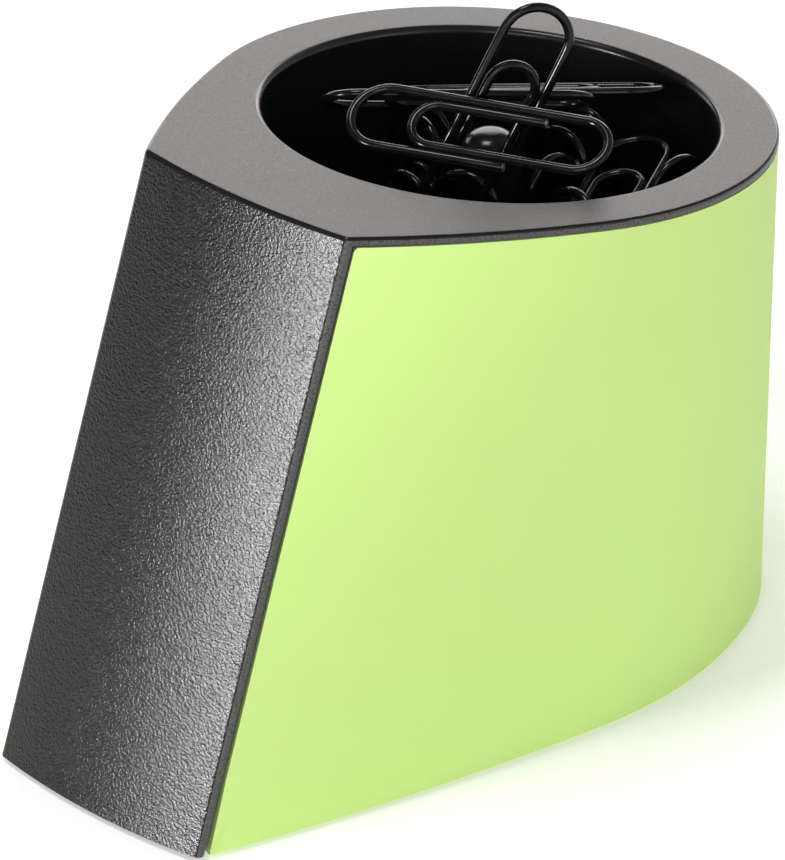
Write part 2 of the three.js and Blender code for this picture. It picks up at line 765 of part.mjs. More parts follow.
const holder = new THREE.Group();
const backY = Math.max(rimBackCentreY + rimBackRadius, footBackCentreY + footBackRadius);
const frontY = footFrontY - footFrontBow;
const stand = new THREE.Group();
stand.position.set(0, -(backY + frontY) / 2, footProud);
stand.add(
  named("frame", frame(), black),
  named("side_sleeve", sideSleeve(), green),
  named("base_plate", basePlate(), black),
  named("magnet", magnet(), steel),
);
for (const place of screwPlaces) stand.add(named(place.name, screw(place), steel));
for (const place of footPlaces) stand.add(named(place.name, rubberFoot(place), rubber));
for (const { name, geometry } of clips()) stand.add(named(name, geometry, glossBlack));
holder.add(stand);

export default holder;
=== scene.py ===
"""A desk holder for paper clips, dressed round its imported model.

Shapes are worked out in millimetres, with the origin on the desk under the centre of the rim's first
back arc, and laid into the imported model's frame in metres at the end.
"""

import json
import math

import bmesh
import bpy
from bpy.props import FloatProperty, FloatVectorProperty, IntProperty, PointerProperty
from bpy.types import Operator, Panel, PropertyGroup
from mathutils import Matrix, Vector

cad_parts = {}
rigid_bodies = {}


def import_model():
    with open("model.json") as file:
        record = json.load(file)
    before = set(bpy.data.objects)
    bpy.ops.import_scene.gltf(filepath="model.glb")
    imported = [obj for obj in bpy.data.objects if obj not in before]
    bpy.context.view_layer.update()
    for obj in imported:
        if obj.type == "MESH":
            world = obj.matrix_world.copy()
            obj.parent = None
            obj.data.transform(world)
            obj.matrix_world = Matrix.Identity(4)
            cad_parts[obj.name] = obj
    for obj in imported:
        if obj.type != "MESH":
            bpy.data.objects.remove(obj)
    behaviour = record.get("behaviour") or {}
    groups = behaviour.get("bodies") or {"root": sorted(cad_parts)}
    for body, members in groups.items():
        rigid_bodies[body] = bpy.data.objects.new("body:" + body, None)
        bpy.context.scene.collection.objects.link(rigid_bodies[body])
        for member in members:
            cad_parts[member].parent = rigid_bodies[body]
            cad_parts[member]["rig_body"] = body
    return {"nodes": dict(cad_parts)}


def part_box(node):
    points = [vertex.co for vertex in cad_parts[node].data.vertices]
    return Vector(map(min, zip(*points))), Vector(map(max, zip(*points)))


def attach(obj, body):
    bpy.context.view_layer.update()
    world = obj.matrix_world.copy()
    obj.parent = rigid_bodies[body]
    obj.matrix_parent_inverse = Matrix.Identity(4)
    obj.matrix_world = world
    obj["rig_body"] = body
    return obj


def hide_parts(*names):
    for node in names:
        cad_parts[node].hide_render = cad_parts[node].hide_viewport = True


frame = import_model()

bl_info = {
    "name": "Paper clip holder",
    "version": (1, 0, 0),
    "blender": (4, 5, 0),
    "location": "View3D > Sidebar > Clip holder",
    "description": "Builds a desk clip holder's moulding, sleeve and wire clips, with finishes and a stage",
    "category": "Object",
}

MM = 0.001
MERGE = 1e-3

# Half of each outline: arcs as a radius and the bearing that it ends on, and a bowed front.
FOOT = {"centre_y": 3.5, "arcs": ((25.3, 63.5), (42.8, 100.2), (283.5, None)), "front_y": -57.7, "bow": 1.25}
RIM = {"centre_y": 0.0, "arcs": ((28.9, 67.0), (30.4, 111.4), (100.4, None)), "front_y": -35.0, "bow": 1.2}
ARC_STEPS = (18, 12, 10)
FRONT_STEPS = 9
WALL_ROWS = 8

RIM_HEIGHT = 56.2
RIM_FALL = 0.11
RIM_FRONT_HEIGHT = RIM_HEIGHT - RIM_FALL * RIM["front_y"]
NEAR_RIM = 40
BAND_HEIGHT = 0.8
BAND_SLACK = 1.02
PANEL_SIDE = 0.7
GROOVE_FOOT = 0.45
GROOVE_RIM = 0.25
WALL = 2.2
SLEEVE_STEP = 0.05
SLEEVE_TOP_GAP = 0.2
INTO_WALL = 0.9 * WALL
FLANGE_INSET = 2.5
FLANGE_DEPTH = 7.0
FLANGE_WALL = 1.6
FLANGE_FOOT = 4.5

CUP_Y = -0.4
CUP_RADIUS = 23.0
CUP_FLOOR_RADIUS = 22.3
CUP_FLOOR = 23.0
POST_RADIUS = 3.0
POST_BASE_RADIUS = 4.6
POST_TOP = 54.0
BORE_RADIUS = 2.2
BORE_TOP = 52.8
BORE_END = 5
BEYOND_LIP = 26
LIP_MARGIN = 0.3

RIM_NORMAL = Vector((0, RIM_FALL, 1)).normalized()
ON_RIM = Matrix(((1, 0, 0, 0), (0, 1, 0, 0), (0, -RIM_FALL, 1, 0), (0, 0, 0, 1)))

# The moulding's materials, in the order of their slots, and the facings that part them. The last is a paler
# copy of the panel's black on faces that look sideways: a painted sheen.
GRAIN, MATTE, SMOOTH, SIDE_PAINTED_SHEEN = range(4)
ROUNDED_FROM, ROUNDED_TO = 0.45, 0.97
FACING_UP = 0.7
FACING_SIDEWAYS = 0.5

# Angles in degrees at which an edge is hard, rounded, or left by a cut.
SHARP = 35
SHARP_ON_CLIP = 50
RIM_TURN = 40
CUT_TURN = 50

CLIP_END_ROUND = 0.24

# The camera's sensor, its bearing, height and roll in degrees, and the point that it looks at.
SENSOR_WIDTH = 36
CAMERA_AZIMUTH, CAMERA_ELEVATION, CAMERA_ROLL = 44.85, 29.15, -1
CAMERA_AIM = (0, -15.14, 25.49)
FLOOR_HALF = 6
FLOOR_DROP = 2e-5
FLOOR_GLOW = 0.24
LIGHTS_AIM = (0, 0, 0.03)

# The surroundings' light: a direction's range, upwards and to the right, and the strength at its ends.
UPWARD_FADE = (0, 0.9, 0.5, 0.17)
SIDEWAYS_FADE = (-0.9, 0.9, 0.1, 1.75)

# Each clip's turns in whole degrees: about the upright, then across, then along its own length.
CLIP_TURNS = {
    "clip_right_back": (102, 171, 101),
    "clip_right_mid": (155, 17, 27),
    "clip_right_near": (-44, -8, 137),
    "clip_right_front": (83, 8, 86),
    "clip_front": (123, 5, 73),
    "clip_front_left": (2, -8, 172),
    "clip_left": (-84, -10, -81),
    "clip_left_near": (-22, -5, 4),
    "clip_right_wall": (74, 7, 12),
    "clip_right_flat": (115, 84, -98),
    "clip_back_low": (-132, 87, 126),
    "clip_back_high": (42, 89, -112),
    "clip_upright": (66, 29, 170),
    "clip_lying": (-158, 90, -118),
}


def holder_origin():
    """The shapes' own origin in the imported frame, found from the moulding's lowest front point."""
    low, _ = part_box("frame")
    return Vector((0, low.y - (FOOT["front_y"] - FOOT["bow"]) * MM, low.z))


# Shapes ------------------------------------------------------------------------------------------


def millimetres(value):
    """A setting's length, which Blender keeps in metres, in millimetres."""
    return value / MM


def swing(bm, vert, centre, angle, steps):
    """Carries a vertex round an upright axis, clockwise from above, and returns the last one."""
    made = bmesh.ops.spin(
        bm, geom=[vert], cent=centre, axis=(0, 0, -1), angle=angle, steps=steps, use_merge=False
    )
    return made["geom_last"][0]


def outline_chain(bm, outline, inset=0.0):
    """The right half of an outline, as a chain of edges from the back's middle to the front's."""
    before = set(bm.edges)
    front = outline["front_y"] + inset
    vert = bm.verts.new((0, outline["centre_y"] + outline["arcs"][0][0] - inset, 0))
    turn = 0.0
    for (full_radius, bearing), steps in zip(outline["arcs"], ARC_STEPS):
        radius = full_radius - inset
        centre = vert.co - radius * Vector((math.sin(turn), math.cos(turn), 0))
        end = math.acos((front - centre.y) / radius) if bearing is None else math.radians(bearing)
        vert = swing(bm, vert, centre, end - turn, steps)
        turn = end
    bow = outline["bow"]
    bow_radius = (vert.co.x**2 + bow**2) / (2 * bow)
    centre = Vector((0, front - bow + bow_radius, 0))
    swing(bm, vert, centre, math.asin(vert.co.x / bow_radius), FRONT_STEPS)
    return [e for e in bm.edges if e not in before]


def half_wall(bm, foot_inset=0.0, rim_inset=0.0):
    """The right half of the straight-ruled wall from the foot's outline to the rim's, as an open sheet."""
    foot = outline_chain(bm, FOOT, foot_inset)
    rim = outline_chain(bm, RIM, rim_inset)
    rim_verts = list({v for e in rim for v in e.verts})
    bmesh.ops.transform(bm, matrix=Matrix.Translation((0, 0, RIM_HEIGHT)) @ ON_RIM, verts=rim_verts)
    bmesh.ops.bridge_loops(bm, edges=foot + rim)
    rungs = [e for e in bm.edges if abs(e.verts[0].co.z - e.verts[1].co.z) > RIM_HEIGHT / 2]
    bmesh.ops.subdivide_edges(bm, edges=rungs, cuts=WALL_ROWS - 1, use_grid_fill=True)


def both_sides(bm):
    """Mirrors a right half to the left, and turns all its faces outwards."""
    bmesh.ops.mirror(bm, geom=bm.verts[:] + bm.edges[:] + bm.faces[:], merge_dist=MERGE, axis="X")
    bmesh.ops.remove_doubles(bm, verts=bm.verts, dist=MERGE)
    bmesh.ops.recalc_face_normals(bm, faces=bm.faces)
    rear = max(bm.faces, key=lambda f: f.calc_center_median().y)
    if rear.normal.y < 0:
        bmesh.ops.reverse_faces(bm, faces=bm.faces)


def under_rim(drop):
    """A plane parallel to the rim's top, as a point and a direction."""
    return Vector((0, 0, RIM_HEIGHT - drop)), RIM_NORMAL


def panel_plane(at_foot, at_rim):
    """A plane across the holder that leans with the panel, set back from its corners at foot and rim."""
    low = Vector((0, FOOT["front_y"] + at_foot, 0))
    high = Vector((0, RIM["front_y"] + at_rim, RIM_FRONT_HEIGHT))
    return low, Vector((1, 0, 0)).cross(low - high).normalized()


def cut(bm, plane, clear_inner=False, clear_outer=False):
    """Cuts a shape along a plane, and clears what lies on its near or its far side."""
    point, normal = plane
    bmesh.ops.bisect_plane(
        bm,
        geom=bm.verts[:] + bm.edges[:] + bm.faces[:],
        dist=1e-5,
        plane_co=point,
        plane_no=normal,
        clear_inner=clear_inner,
        clear_outer=clear_outer,
    )


def side_of(plane, point):
    """How far a point stands on the far side of a plane."""
    return (point - plane[0]).dot(plane[1])


def rounded(bm, geom, radius, segments, affect="EDGES", clamp=True):
    """Rounds edges, or a sheet's corners, with the default arc."""
    bmesh.ops.bevel(
        bm,
        geom=list(geom),
        offset=radius,
        segments=segments,
        profile=0.5,
        affect=affect,
        material=-1,
        clamp_overlap=clamp,
    )


def level_foot(bm):
    """Brings the wall's inner lower edge level with its outer one."""
    bmesh.ops.scale(bm, vec=(1, 1, 0), verts=[v for v in bm.verts if abs(v.co.z) < WALL])


def out_from_post(point):
    """A point's distance from the upright line through the middle of the cup."""
    return math.hypot(point.x, point.y - CUP_Y)


def edges_at(bm, test):
    """The edges whose two ends both pass a test of place."""
    return [e for e in bm.edges if test(e.verts[0].co) and test(e.verts[1].co)]


def near(value, wanted, slack=0.02):
    return abs(value - wanted) < slack


def above_rim(point):
    """A point's height above the sloping rim's top, negative under it."""
    return point.z + RIM_FALL * point.y - RIM_HEIGHT


def half_cup(bm, steps):
    """The right half of the cup's wall and floor and of the post in its middle, turned from one profile.

    Returns the edges along the cup's lip."""
    before = set(bm.verts)
    profile = (
        (CUP_RADIUS, RIM_HEIGHT),
        (CUP_FLOOR_RADIUS, CUP_FLOOR),
        (POST_BASE_RADIUS, CUP_FLOOR),
        (POST_RADIUS, POST_TOP),
        (0, POST_TOP),
    )
    verts = [bm.verts.new((0, CUP_Y + radius, height)) for radius, height in profile]
    edges = [bm.edges.new(pair) for pair in zip(verts, verts[1:])]
    bmesh.ops.spin(
        bm,
        geom=verts + edges,
        cent=(0, CUP_Y, 0),
        axis=(0, 0, -1),
        angle=math.pi,
        steps=steps,
        use_merge=False,
    )
    made = {v for v in bm.verts if v not in before}
    lip = [v for v in made if near(v.co.z, RIM_HEIGHT)]
    bmesh.ops.transform(bm, matrix=ON_RIM, verts=lip)
    return [e for e in bm.edges if e.verts[0] in lip and e.verts[1] in lip]


def finished(name, bm, materials, body, sharp_degrees=SHARP):
    """Makes the piece's object from its shape in millimetres, smooth but for its sharp turns."""
    bmesh.ops.transform(
        bm, matrix=Matrix.Translation(holder_origin()) @ Matrix.Diagonal((MM, MM, MM, 1)), verts=bm.verts
    )
    mesh = bpy.data.meshes.new(name)
    bm.to_mesh(mesh)
    bm.free()
    for material in materials:
        mesh.materials.append(material)
    mesh.shade_smooth()
    mesh.set_sharp_from_angle(angle=math.radians(sharp_degrees))
    piece = bpy.data.objects.new(name, mesh)
    bpy.context.scene.collection.objects.link(piece)
    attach(piece, body)
    return piece


def even_shading(piece):
    """Lets the large faces lead the shading, so that narrow roundings don't bend it."""
    weighted = piece.modifiers.new("Even shading", "WEIGHTED_NORMAL")
    weighted.keep_sharp = True


# Finishes ----------------------------------------------------------------------------------------


def carried(tree, source, ends):
    """A value carried from one range to another, both given by their ends."""
    node = tree.nodes.new("ShaderNodeMapRange")
    for name, value in zip(("From Min", "From Max", "To Min", "To Max"), ends):
        node.inputs[name].default_value = value
    tree.links.new(source, node.inputs["Value"])
    return node.outputs["Result"]


class Finish:
    """A material that is built from nodes on the piece's own coordinates."""

    def __init__(self, name, colour, roughness, metallic=0.0, specular=0.5):
        self.material = bpy.data.materials.new(name)
        self.material.use_nodes = True
        self.nodes = self.material.node_tree.nodes
        self.links = self.material.node_tree.links
        self.shader = self.nodes["Principled BSDF"]
        self.place = self.nodes.new("ShaderNodeTexCoord").outputs["Object"]
        self.set("Base Color", (*colour, 1))
        self.set("Roughness", roughness)
        self.set("Metallic", metallic)
        self.set("Specular IOR Level", specular)

    def set(self, socket, value):
        self.shader.inputs[socket].default_value = value

    def noise(self, size_mm, detail=2.0, roughness=0.5, stretch=None):
        """Noise whose features are about the given size."""
        node = self.nodes.new("ShaderNodeTexNoise")
        node.inputs["Scale"].default_value = 1 / (size_mm * MM)
        node.inputs["Detail"].default_value = detail
        node.inputs["Roughness"].default_value = roughness
        source = self.place
        if stretch:
            mapping = self.nodes.new("ShaderNodeMapping")
            mapping.inputs["Scale"].default_value = stretch
            self.links.new(self.place, mapping.inputs["Vector"])
            source = mapping.outputs["Vector"]
        self.links.new(source, node.inputs["Vector"])
        return node.outputs["Fac"]

    def cells(self, size_mm):
        """Pebbled cells about the given size, as the distance from each cell's middle."""
        node = self.nodes.new("ShaderNodeTexVoronoi")
        node.feature = "SMOOTH_F1"
        node.inputs["Scale"].default_value = 1 / (size_mm * MM)
        node.inputs["Smoothness"].default_value = 0.6
        self.links.new(self.place, node.inputs["Vector"])
        return node.outputs["Distance"]

    def ramp(self, source, low, high):
        """The middle part of a noise's values, carried to a range."""
        return carried(self.material.node_tree, source, (0.3, 0.7, low, high))

    def vary_roughness(self, source, low, high):
        """Lets the roughness follow a noise."""
        self.links.new(self.ramp(source, low, high), self.shader.inputs["Roughness"])

    def vary_colour(self, source, low, high):
        """Lets the colour follow a noise."""
        node = self.nodes.new("ShaderNodeMix")
        node.data_type = "RGBA"
        node.inputs["A"].default_value = (*low, 1)
        node.inputs["B"].default_value = (*high, 1)
        self.links.new(self.ramp(source, 0, 1), node.inputs["Factor"])
        self.links.new(node.outputs["Result"], self.shader.inputs["Base Color"])

    def bump(self, source, height_mm, strength=1.0, under=None):
        """Raises the surface by a noise, on top of another bump where one is given."""
        node = self.nodes.new("ShaderNodeBump")
        node.inputs["Strength"].default_value = strength
        node.inputs["Distance"].default_value = height_mm * MM
        self.links.new(source, node.inputs["Height"])
        if under is not None:
            self.links.new(under, node.inputs["Normal"])
        self.links.new(node.outputs["Normal"], self.shader.inputs["Normal"])
        return node.outputs["Normal"]


def tinted(colour, factor):
    """A colour made darker or lighter."""
    return tuple(min(1.0, c * factor) for c in colour)


def grained_black(colours):
    """The front panel: glossy black with a fine pebbled grain that sparkles."""
    finish = Finish("grained_black", tinted(colours.moulding, 0.3), 0.3, specular=0.42)
    grain = finish.noise(colours.grain_size / MM, roughness=0.6)
    pebbles = finish.cells(colours.grain_size * 1.5 / MM)
    finish.vary_roughness(grain, 0.14, 0.26)
    finish.vary_colour(grain, tinted(colours.moulding, 0.1), tinted(colours.moulding, 0.7))
    raised = finish.bump(pebbles, 0.026)
    finish.bump(grain, 0.05, under=raised)
    return finish.material


def side_black_painted_sheen(colours):
    """The faces that look sideways, beside the sleeve: the panel's grain on a black four times paler and
    duller, a painted sheen where these faces catch the light.
    """
    # The black made four times paler is a painted sheen, not a paler plastic.
    shade = tinted(colours.moulding, 4)
    finish = Finish("side_black_painted_sheen", shade, 0.3, specular=0.6)
    grain = finish.noise(colours.grain_size / MM, roughness=0.6)
    finish.vary_roughness(grain, 0.2, 0.4)
    finish.vary_colour(grain, tinted(shade, 0.5), tinted(shade, 1.6))
    finish.bump(grain, 0.07)
    return finish.material


def fine_matte_black(colours):
    """The rim: the same black with a very fine matte texture."""
    finish = Finish("fine_matte_black", colours.rim, 0.48, specular=0.8)
    fine = finish.noise(0.2)
    cloud = finish.noise(7)
    finish.vary_roughness(fine, 0.42, 0.54)
    finish.vary_colour(cloud, colours.rim, tinted(colours.rim, 1.12))
    finish.bump(fine, 0.022)
    return finish.material


def smooth_black(colours):
    """The inside of the cup: smooth black with faint moulding flow."""
    finish = Finish("smooth_black", tinted(colours.moulding, 0.7), 0.3, specular=0.34)
    flow = finish.noise(5, detail=3, stretch=(1, 1, 0.3))
    finish.vary_roughness(flow, 0.16, 0.28)
    finish.bump(finish.noise(0.3), 0.004, 0.4)
    return finish.material


def satin_green(colours):
    """The sleeve: satin coloured plastic with a barely uneven surface."""
    finish = Finish("satin_green", colours.sleeve, 0.5, specular=0.22)
    cloud = finish.noise(14)
    fine = finish.noise(0.18)
    finish.vary_colour(cloud, tinted(colours.sleeve, 0.99), tinted(colours.sleeve, 1.01))
    finish.vary_roughness(fine, 0.46, 0.54)
    soft = finish.bump(cloud, 0.02, 0.08)
    finish.bump(fine, 0.003, 0.35, under=soft)
    return finish.material


def clip_coating(colours):
    """The clips: glossy black coating, slightly wavy along the wire."""
    finish = Finish("clip_coating", colours.clip, 0.14, specular=0.3)
    wave = finish.noise(1.6)
    finish.vary_roughness(wave, 0.09, 0.19)
    finish.vary_colour(wave, colours.clip, tinted(colours.clip, 1.8))
    finish.bump(wave, 0.03, 0.3)
    return finish.material


def cut_wire_end(colours):
    """The sheared end of a clip's wire, where the steel shows."""
    finish = Finish("cut_wire_end", colours.steel, 0.38, metallic=1.0)
    shear = finish.noise(0.12, detail=3)
    finish.vary_roughness(shear, 0.3, 0.5)
    finish.bump(shear, 0.02, 0.5)
    return finish.material


def zinc_steel(name, colours, size_mm):
    """Zinc-plated steel with a faint mottle and fine turning marks."""
    finish = Finish(name, colours.steel, 0.32, metallic=1.0)
    mottle = finish.noise(size_mm, detail=3)
    finish.vary_colour(mottle, tinted(colours.steel, 0.85), tinted(colours.steel, 1.05))
    finish.vary_roughness(mottle, 0.24, 0.4)
    finish.bump(finish.noise(0.15, detail=1, stretch=(1, 1, 6)), 0.01, 0.3)
    return finish.material


def foot_rubber(colours):
    """Soft black rubber with a dusty, finely pitted face."""
    finish = Finish("foot_rubber", colours.rubber, 0.85, specular=0.3)
    pits = finish.noise(0.25, detail=3)
    finish.vary_colour(finish.noise(2.5), colours.rubber, tinted(colours.rubber, 1.7))
    finish.vary_roughness(pits, 0.75, 0.95)
    finish.bump(pits, 0.03, 0.6)
    return finish.material


def base_black(colours):
    """The base plate: spark-eroded black plastic."""
    finish = Finish("base_black", tinted(colours.moulding, 1.2), 0.55, specular=0.4)
    spark = finish.cells(0.35)
    finish.vary_roughness(finish.noise(4), 0.48, 0.62)
    finish.bump(spark, 0.02, 0.5)
    return finish.material


def dress(node, material):
    """Gives a CAD node its finish, in its object's own material slots."""
    piece = frame["nodes"][node]
    if not piece.material_slots:
        piece.data.materials.append(None)
    for slot in piece.material_slots:
        slot.link = "OBJECT"
        slot.material = material
    weld = piece.modifiers.new("Weld", "WELD")
    weld.merge_threshold = MERGE * MM
    even_shading(piece)


# Settings ----------------------------------------------------------------------------------------


def length(name, description, default):
    """A setting for a length in metres."""
    return FloatProperty(
        name=name, description=description, default=default, min=0, unit="LENGTH", precision=5
    )


def colour(name, description, default):
    """A setting for a colour."""
    return FloatVectorProperty(
        name=name, description=description, default=default, min=0, max=1, subtype="COLOR"
    )


class MouldingSizes(PropertyGroup):
    outer_round: length("Outer edges", "Rounding of the rim's edge and the panel's front corners", 0.00042)
    lip_round: length("Cup lip", "Rounding of the cup's lip", 0.0008)
    floor_fillet: length("Cup floor fillet", "Rounding between the cup's wall and floor", 0.002)
    post_round: length("Post edge", "Rounding of the magnet post's top", 0.0022)
    cut_edge_round: length("Cut edges", "Rounding of the edges beside the sleeve", 0.0001)
    sleeve_edge_round: length("Sleeve edge", "Rounding of the sleeve's outer edges", 0.00014)
    sleeve_corner_round: length("Sleeve corner", "Rounding of the sleeve's corners, seen sideways", 0.0005)


class ClipSizes(PropertyGroup):
    thickness: length("Wire", "Thickness of the coated wire", 0.001)
    length: length("Length", "Length of a clip over its bends", 0.028)
    width: length("Width", "Width of a clip", 0.0081)
    spacing: length("Spacing", "Distance between neighbouring wires", 0.00105)
    inner_bend: length("Inner bend", "Height of the inner bend's start over the middle", 0.0045)
    outer_end: length("Outer end", "Depth of the outer wire's end under the middle", 0.004)
    inner_end: length("Inner end", "Depth of the inner wire's end under the middle", 0.0065)
    sides: IntProperty(name="Sides", description="Sides of the round wire", default=14, min=6, max=32)
    bend_steps: IntProperty(
        name="Bend steps", description="Steps in each half-round bend", default=18, min=4, max=64
    )


class Finishes(PropertyGroup):
    moulding: colour("Moulding", "Black of the moulded body", (0.012, 0.0115, 0.011))
    rim: colour("Rim", "Black of the rim's matte face", (0.014, 0.0125, 0.012))
    sleeve: colour("Sleeve", "Lime green of the sleeve", (0.6, 0.82, 0.26))
    clip: colour("Clip coating", "Black of the clips' coating", (0.004, 0.0035, 0.003))
    steel: colour("Steel", "Zinc-plated steel", (0.62, 0.61, 0.6))
    rubber: colour("Rubber", "Black rubber of the feet", (0.02, 0.02, 0.02))
    grain_size: length("Panel grain", "Size of the front panel's grain", 0.00023)


class StageSettings(PropertyGroup):
    floor: colour("Floor", "Pale floor and backdrop", (0.95, 0.95, 0.95))
    lens: FloatProperty(
        name="Lens", description="Focal length for a 36 mm sensor", default=291.3, unit="CAMERA"
    )
    distance: length("Distance", "From the camera to the point it looks at", 0.70733)


class ClipHolderSettings(PropertyGroup):
    moulding: PointerProperty(
        type=MouldingSizes, name="Moulding", description="Roundings of the moulded parts"
    )
    clip: PointerProperty(type=ClipSizes, name="Clip", description="Sizes of the wire clips")
    finishes: PointerProperty(type=Finishes, name="Finishes", description="Colours and grain")
    stage: PointerProperty(type=StageSettings, name="Stage", description="Floor and camera")


# Pieces ------------------------------------------------------------------------------------------


class ClipHolderOperator:
    """What all the operators share."""

    bl_options = {"REGISTER", "UNDO"}

    @property
    def settings(self):
        return bpy.context.scene.clip_holder


class OBJECT_OT_holder_moulding(ClipHolderOperator, Operator):
    """Builds the black moulding: leaning panel with its flanges, sloping rim, cup and magnet post"""

    bl_idname = "object.holder_moulding"
    bl_label = "Moulding"

    def execute(self, context):
        bm = bmesh.new()
        band, panel_back = under_rim(BAND_HEIGHT), panel_plane(PANEL_SIDE, PANEL_SIDE)
        outside = self.shell(bm, band, panel_back)
        self.open_bore(bm, outside)
        self.round_off(bm, outside, band, panel_back)
        self.flanges(bm)
        bmesh.ops.recalc_face_normals(bm, faces=bm.faces)
        for face in bm.faces:
            face.material_index = self.finish_of(face)
        colours = self.settings.finishes
        finishes = [
            grained_black(colours),
            fine_matte_black(colours),
            smooth_black(colours),
            side_black_painted_sheen(colours),
        ]
        piece = finished("holder_moulding", bm, finishes, "holder")
        even_shading(piece)
        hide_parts("frame")
        return {"FINISHED"}

    @staticmethod
    def shell(bm, band, panel_back):
        """The panel, rim, cup and post as one wall of even thickness. Returns the vertices of its outside."""
        half_wall(bm)
        cut(bm, band)
        cut(bm, panel_back)
        sleeved = []
        for face in bm.faces:
            middle = face.calc_center_median()
            if side_of(band, middle) < 0 and side_of(panel_back, middle) > 0:
                sleeved.append(face)
        bmesh.ops.delete(bm, geom=sleeved, context="FACES")
        top = edges_at(bm, lambda p: near(above_rim(p), 0))
        bmesh.ops.bridge_loops(bm, edges=top + half_cup(bm, len(top)))
        both_sides(bm)
        outside = set(bm.verts)
        bmesh.ops.solidify(bm, geom=bm.faces[:], thickness=WALL)
        level_foot(bm)
        return outside

    @staticmethod
    def round_off(bm, outside, band, panel_back):
        """Rounds the cup, the post, the panel's corners, the rim's edge and the edges beside the sleeve."""
        sizes = bpy.context.scene.clip_holder.moulding

        def on_outside(test):
            return [e for e in bm.edges if all(v in outside and test(v.co) for v in e.verts)]

        def widest_at(front_y, test):
            return max(v.co.x for v in outside if near(v.co.y, front_y, slack=0.05) and test(v.co.z))

        foot_x = widest_at(FOOT["front_y"], lambda z: near(z, 0))
        rim_x = widest_at(RIM["front_y"], lambda z: z > NEAR_RIM)

        def at_corner(p):
            share = p.z / RIM_FRONT_HEIGHT
            x = foot_x + (rim_x - foot_x) * share
            y = FOOT["front_y"] + (RIM["front_y"] - FOOT["front_y"]) * share
            return near(abs(p.x), x) and near(p.y, y)

        rings = (
            (lambda p: near(p.z, CUP_FLOOR), CUP_FLOOR_RADIUS, sizes.floor_fillet, 8),
            (lambda p: near(p.z, POST_TOP), POST_RADIUS, sizes.post_round, 6),
            (lambda p: near(above_rim(p), 0), CUP_RADIUS, sizes.lip_round, 6),
        )
        for at_height, ring_radius, radius, segments in rings:
            ring = on_outside(lambda p: at_height(p) and near(out_from_post(p), ring_radius))
            rounded(bm, ring, millimetres(radius), segments)
        corners = on_outside(at_corner)
        rim_edge = [
            e
            for e in edges_at(bm, lambda p: near(above_rim(p), 0) and out_from_post(p) > BEYOND_LIP)
            if e.calc_face_angle(0) > math.radians(RIM_TURN)
        ]
        rounded(bm, corners + rim_edge, millimetres(sizes.outer_round), 5)
        beside_sleeve = {
            e
            for plane in (panel_back, band)
            for e in edges_at(bm, lambda p: near(side_of(plane, p), 0))
            if len(e.link_faces) == 2 and e.is_convex and e.calc_face_angle(0) > math.radians(CUT_TURN)
        }
        rounded(bm, beside_sleeve, millimetres(sizes.cut_edge_round), 2)

    @staticmethod
    def finish_of(face):
        """The finish that a face has by its place and by where it looks."""
        middle, upward = face.calc_center_median(), face.normal.z
        depth, radius = -above_rim(middle), out_from_post(middle)
        on_rim = depth < BAND_HEIGHT * BAND_SLACK
        in_cup = radius < CUP_RADIUS + LIP_MARGIN and depth > LIP_MARGIN
        if in_cup or radius < CUP_RADIUS - 1 or (on_rim and ROUNDED_FROM < upward < ROUNDED_TO):
            return SMOOTH
        if on_rim and upward > FACING_UP:
            return MATTE
        # Faces that look sideways take the paler copy of the black: a painted sheen.
        return SIDE_PAINTED_SHEEN if abs(face.normal.x) > FACING_SIDEWAYS else GRAIN

    @staticmethod
    def open_bore(bm, outside):
        """Widens the hollow of the post, so that the magnet has its room."""
        inner = [v for v in bm.verts if v not in outside]
        ring = [v for v in inner if out_from_post(v.co) < POST_BASE_RADIUS and v.co.z > BORE_TOP - BORE_END]
        foot = [v for v in inner if out_from_post(v.co) < POST_BASE_RADIUS and v.co.z < CUP_FLOOR]
        axis = Matrix.Translation((0, -CUP_Y, 0))
        for verts, height in ((ring, BORE_TOP), (foot, None)):
            widest = max((out_from_post(v.co) for v in verts), default=0)
            if not widest:
                raise RuntimeError("the post has no hollow to widen")
            bmesh.ops.scale(bm, vec=(BORE_RADIUS / widest, BORE_RADIUS / widest, 1), space=axis, verts=verts)
            if height:
                bmesh.ops.translate(bm, vec=(0, 0, height - verts[0].co.z), verts=verts)

    @staticmethod
    def flanges(bm):
        """The two flanges that run back from the panel, inside the sleeve."""
        strip = bmesh.new()
        half_wall(strip, FLANGE_INSET, FLANGE_INSET)
        cut(strip, under_rim(INTO_WALL), clear_outer=True)
        cut(strip, (Vector((0, 0, FLANGE_FOOT)), Vector((0, 0, 1))), clear_inner=True)
        cut(strip, panel_plane(INTO_WALL, INTO_WALL), clear_inner=True)
        back = PANEL_SIDE + FLANGE_DEPTH
        cut(strip, panel_plane(back, back), clear_outer=True)
        both_sides(strip)
        bmesh.ops.solidify(strip, geom=strip.faces[:], thickness=FLANGE_WALL)
        mesh = bpy.data.meshes.new("flanges")
        strip.to_mesh(mesh)
        strip.free()
        bm.from_mesh(mesh)
        bpy.data.meshes.remove(mesh)


